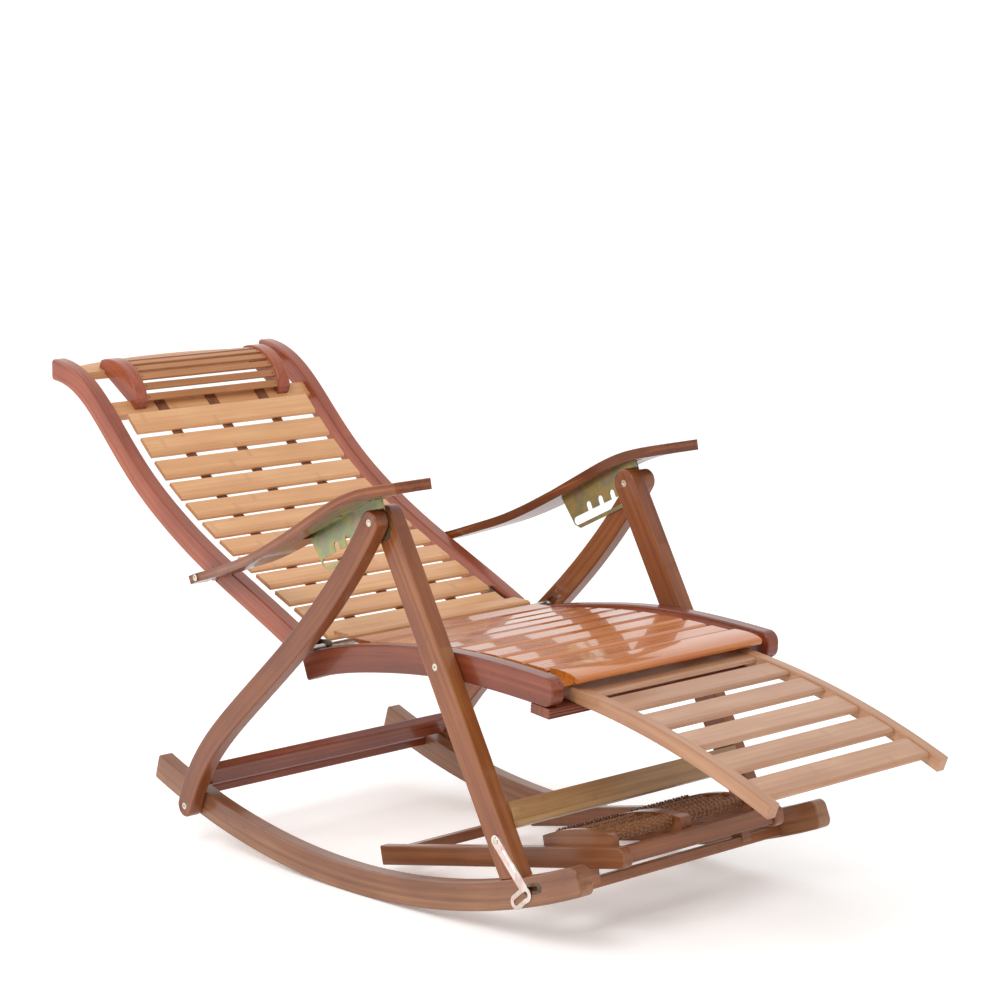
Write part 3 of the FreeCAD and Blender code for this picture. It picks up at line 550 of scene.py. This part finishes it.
def board(node, material, line=None, bevel=0.0, seedFrom=0):
    piece = mergedCopy(node, node + "_board")
    mesh = piece.data
    shape = bmesh.new()
    shape.from_mesh(mesh)
    if bevel:
        bmesh.ops.dissolve_limit(
            shape, angle_limit=math.radians(1), verts=shape.verts, edges=shape.edges, delimit=set()
        )
    shape.verts.index_update()
    groups = islands(shape)
    co = np.array([fromFrame @ v.co for v in shape.verts], float).reshape(-1, 3)
    shape.to_mesh(mesh)
    shape.free()
    grain = np.zeros_like(co)
    seeds = np.zeros(len(co))
    middles = [tuple(round(float(co[g, axis].mean()), 4) for axis in (0, 1)) for g in groups]
    order = sorted(range(len(groups)), key=lambda g: middles[g])
    for rank, g in enumerate(order):
        rows = np.array(groups[g])
        own = math.sin((rank + seedFrom + 1) * 12.9898) * 43758.5453
        own -= math.floor(own)
        if line:
            grain[rows] = grainOf(co[rows], line)
        else:
            part = co[rows]
            middle = part.mean(0)
            x, z = part[:, 0] - middle[0], part[:, 2] - middle[2]
            turn = 0.5 * math.atan2(2 * (x * z).mean(), (x * x).mean() - (z * z).mean())
            across = x * math.cos(turn) + z * math.sin(turn)
            deep = -x * math.sin(turn) + z * math.cos(turn)
            grain[rows] = np.stack([part[:, 1] + own * 1.7, across, deep], 1)
        seeds[rows] = own
    storeGrain(mesh, grain, seeds)
    mesh.materials.append(material)
    for polygon in mesh.polygons:
        polygon.use_smooth = True
    mesh.set_sharp_from_angle(angle=math.radians(32))
    if bevel:
        edge = piece.modifiers.new("edge", "BEVEL")
        edge.width = bevel * mm
        edge.segments = 2
        edge.limit_method = "ANGLE"
        edge.angle_limit = math.radians(25)
    normals = piece.modifiers.new("normals", "WEIGHTED_NORMAL")
    normals.keep_sharp = True
    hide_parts(node)
    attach(piece, bodyOf[node])
    return piece


boards = [
    ("rocker_left", bambooRocker, "rocker", 0),
    ("rocker_right", bambooRocker, "rocker", 0),
    ("rear_leg_left", bambooLeg, "rearLeg", 0),
    ("rear_leg_right", bambooLeg, "rearLeg", 0),
    ("front_leg_left", bambooLeg, "frontLeg", 0),
    ("front_leg_right", bambooLeg, "frontLeg", 0),
    ("seat_rail_left", bambooRail, "seatRail", 0),
    ("seat_rail_right", bambooRail, "seatRail", 0),
    ("back_rail_left", bambooBack, "backRail", 0),
    ("back_rail_right", bambooBack, "backRail", 0),
    ("armrest_left", bambooArm, "armrest", 2.0),
    ("armrest_right", bambooArm, "armrest", 2.0),
    ("footrest_rail_left", bambooFoot, "footrest", 0),
    ("footrest_rail_right", bambooFoot, "footrest", 0),
    ("massager_rail_left", bambooBrown, "massager", 0),
    ("massager_rail_right", bambooBrown, "massager", 0),
    ("massager_block_plates", bambooBrown, "massager", 1.5),
    ("headrest_end_plates", bambooBack, "backRail", 1.5),
    ("back_slats", bambooSlat, None, 0.8),
    ("fold_slat", bambooSlat, None, 0.8),
    ("headrest_strips", bambooHead, None, 0),
    ("seat_slats", bambooSeat, None, 0.8),
    ("seat_front_board", bambooSeat, None, 0),
    ("seat_front_crossbar", bambooSeat, None, 0),
    ("footrest_slats", bambooFoot, None, 0.8),
    ("rear_leg_crossbar", bambooRail, None, 0),
    ("front_leg_crossbar", bambooBar, None, 0),
    ("rocker_front_crossbar", bambooBrown, None, 0),
    ("rocker_rear_crossbar", bambooRail, None, 0),
    ("massager_front_bar", bambooBrown, None, 0),
    ("massager_cross_bars", bambooBrown, None, 0),
    ("back_top_crossbar", bambooSlat, None, 0.8),
    ("back_second_crossbar", bambooSlat, None, 0),
    ("footrest_guide_bar", bambooRail, None, 0.5),
]
for rank, (node, material, line, bevel) in enumerate(boards):
    piece = board(node, material, line, bevel, rank * 20)
print("boards:", len(boards))

# rollers: turned bamboo with rows of round knobs
roller = {"core": 9.0, "axle": 3.0, "knob": 2.6, "knobOut": 9.6, "rows": 14, "round": 10, "endRoom": 11.8}


def turnedRoller(node, seed):
    corners = [nodes[node].matrix_world @ Vector(c) for c in nodes[node].bound_box]
    low = [min(c[i] for c in corners) for i in range(3)]
    high = [max(c[i] for c in corners) for i in range(3)]
    middle = Vector([(low[i] + high[i]) / 2 for i in range(3)])
    long = high[1] - low[1]
    body = long - roller["endRoom"] * mm
    acrossY = Matrix.Translation(middle) @ Matrix.Rotation(math.radians(90), 4, "X")
    shape = bmesh.new()
    for radius, depth, sides in ((roller["core"], body, 28), (roller["axle"], long, 12)):
        bmesh.ops.create_cone(
            shape,
            cap_ends=True,
            segments=sides,
            radius1=radius * mm,
            radius2=radius * mm,
            depth=depth,
            matrix=acrossY,
        )
    for row in range(roller["rows"]):
        y = middle.y + body * ((row + 0.5) / roller["rows"] - 0.5)
        for k in range(roller["round"]):
            turn = 2 * math.pi * (k + 0.5 * (row % 2)) / roller["round"]
            out = roller["knobOut"] * mm
            place = Vector((middle.x + out * math.cos(turn), y, middle.z + out * math.sin(turn)))
            bmesh.ops.create_icosphere(
                shape, subdivisions=1, radius=roller["knob"] * mm, matrix=Matrix.Translation(place)
            )
    mesh = bpy.data.meshes.new(node + "_turned")
    shape.to_mesh(mesh)
    shape.free()
    co = np.array([v.co for v in mesh.vertices], float)
    grain = co[:, (1, 0, 2)] + seed * 0.37
    storeGrain(mesh, grain, np.full(len(co), seed))
    mesh.materials.append(bambooRoller)
    for polygon in mesh.polygons:
        polygon.use_smooth = True
    mesh.set_sharp_from_angle(angle=math.radians(50))
    piece = bpy.data.objects.new(node + "_turned", mesh)
    scene.collection.objects.link(piece)
    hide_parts(node)
    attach(piece, bodyOf[node])


for rank, node in enumerate(sorted(n for n in nodes if n.startswith("roller_"))):
    turnedRoller(node, 0.13 + 0.11 * rank)
print("rollers turned")

# hardware and straps keep their solids
hardware = {
    "armrest_comb": zincPlate,
    "catch_left": catchNickel,
    "catch_right": catchNickel,
    "catch_keepers": bronzePlate,
    "back_hinge_plates": bronzePlate,
    "seat_hinge_plates": bronzePlate,
    "folding_rod": steelRod,
}
for node, owner in nodes.items():
    if owner.hide_render:
        continue
    material = next((m for key, m in hardware.items() if node.startswith(key)), None)
    if material is None:
        material = leather if "strap" in node else nickelBolt
    owner.data.materials.clear()
    owner.data.materials.append(material)
print("hardware dressed")

# small screws in the headrest strips and tacks through the straps, a few faces each
fastener = {"screw": 2.2, "screwIn": 6.0, "tack": 3.4, "deep": 0.8, "strapRoom": 3.0}


def stripsOf(node):
    # middle, half thickness, upward normal and ends of each board in a node
    shape = bmesh.new()
    shape.from_mesh(nodes[node].data)
    bmesh.ops.remove_doubles(shape, verts=shape.verts, dist=2e-6)
    shape.verts.index_update()
    co = np.array([nodes[node].matrix_world @ v.co for v in shape.verts], float)
    groups = islands(shape)
    shape.free()
    found = []
    for group in groups:
        part = co[group]
        low, high = part.min(0), part.max(0)
        middle = (low + high) / 2
        x, z = part[:, 0] - middle[0], part[:, 2] - middle[2]
        turn = 0.5 * math.atan2(2 * (x * z).mean(), (x * x).mean() - (z * z).mean())
        normal = Vector((-math.sin(turn), 0, math.cos(turn)))
        if normal.z < 0:
            normal = -normal
        deep = np.abs(x * normal.x + z * normal.z).max()
        found.append((Vector(middle), deep, normal, low[1], high[1]))
    return found


def fasteners(name, owner, spots, radius, material):
    shape = bmesh.new()
    for place, normal in spots:
        turn = normal.to_track_quat("Z", "Y").to_matrix().to_4x4()
        bmesh.ops.create_cone(
            shape,
            cap_ends=True,
            segments=8,
            radius1=radius * mm,
            radius2=radius * 0.6 * mm,
            depth=fastener["deep"] * mm,
            matrix=Matrix.Translation(place) @ turn,
        )
    mesh = bpy.data.meshes.new(name)
    shape.to_mesh(mesh)
    shape.free()
    mesh.materials.append(material)
    piece = bpy.data.objects.new(name, mesh)
    scene.collection.objects.link(piece)
    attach(piece, bodyOf[owner])


spots = []
for middle, deep, normal, low, high in stripsOf("headrest_strips"):
    for y in (low + fastener["screwIn"] * mm, high - fastener["screwIn"] * mm):
        spots.append((Vector((middle.x, y, middle.z)) + normal * deep, normal))
fasteners("headrest_screws", "headrest_strips", spots, fastener["screw"], bronzePlate)
for slats, straps in (("back_slats", "back_straps"), ("seat_slats", "seat_straps")):
    acrossAt = [middle.y for middle, deep, normal, low, high in stripsOf(straps)]
    spots = []
    for middle, deep, normal, low, high in stripsOf(slats):
        for y in acrossAt:
            under = normal * (deep + fastener["strapRoom"] * mm)
            spots.append((Vector((middle.x, y, middle.z)) - under, -normal))
    fasteners(straps + "_tacks", straps, spots, fastener["tack"], nickelBolt)
print("screws and tacks placed")

# floor and light
studio = {"floor": "#fafaf9", "floorSize": 30.0, "far": 1.15, "near": 0.68, "glow": 0.2}
floorMesh = bpy.data.meshes.new("floor")
shape = bmesh.new()
bmesh.ops.create_grid(shape, x_segments=1, y_segments=1, size=studio["floorSize"])
shape.to_mesh(floorMesh)
shape.free()
floor = bpy.data.objects.new("floor", floorMesh)
scene.collection.objects.link(floor)
material, tree, shader = newMaterial("paperFloor")
shader.inputs["Base Color"].default_value = srgb(studio["floor"])
shader.inputs["Roughness"].default_value = 0.9
shader.inputs["Specular IOR Level"].default_value = 0.1
shader.inputs["Emission Color"].default_value = (1, 1, 1, 1)
shader.inputs["Emission Strength"].default_value = studio["glow"]
floorMesh.materials.append(material)

# white behind the chair, dimmer on the side of the camera, so that the varnish keeps its colour
world = bpy.data.worlds.new("studio")
scene.world = world
world.use_nodes = True
place = addNode(world.node_tree, "ShaderNodeTexCoord")
facing = addNode(
    world.node_tree,
    "ShaderNodeVectorMath",
    {0: place.outputs["Generated"], 1: tuple(away)},
    operation="DOT_PRODUCT",
)
sky = addNode(
    world.node_tree,
    "ShaderNodeMapRange",
    {
        "Value": facing.outputs["Value"],
        "From Min": -0.35,
        "From Max": 0.7,
        "To Min": studio["far"],
        "To Max": studio["near"],
    },
)
world.node_tree.links.new(sky.outputs[0], world.node_tree.nodes["Background"].inputs[1])
world.node_tree.nodes["Background"].inputs[0].default_value = (1, 1, 1, 1)


def softbox(name, place, target, size, power):
    light = bpy.data.objects.new(name, bpy.data.lights.new(name, "AREA"))
    scene.collection.objects.link(light)
    light.data.shape = "RECTANGLE"
    light.data.size, light.data.size_y = size
    light.data.energy = power
    light.location = place
    light.rotation_euler = (Vector(place) - Vector(target)).to_track_quat("Z", "Y").to_euler()
    return light


softbox("keyLight", (1.5, -3.2, 3.4), (0, 0, 0.4), (2.0, 2.0), 90)
softbox("fillLight", (-3.0, -2.0, 2.2), (0, 0, 0.4), (2.0, 2.0), 25)
scene.view_settings.view_transform = "Standard"
print("floor and lights placed")
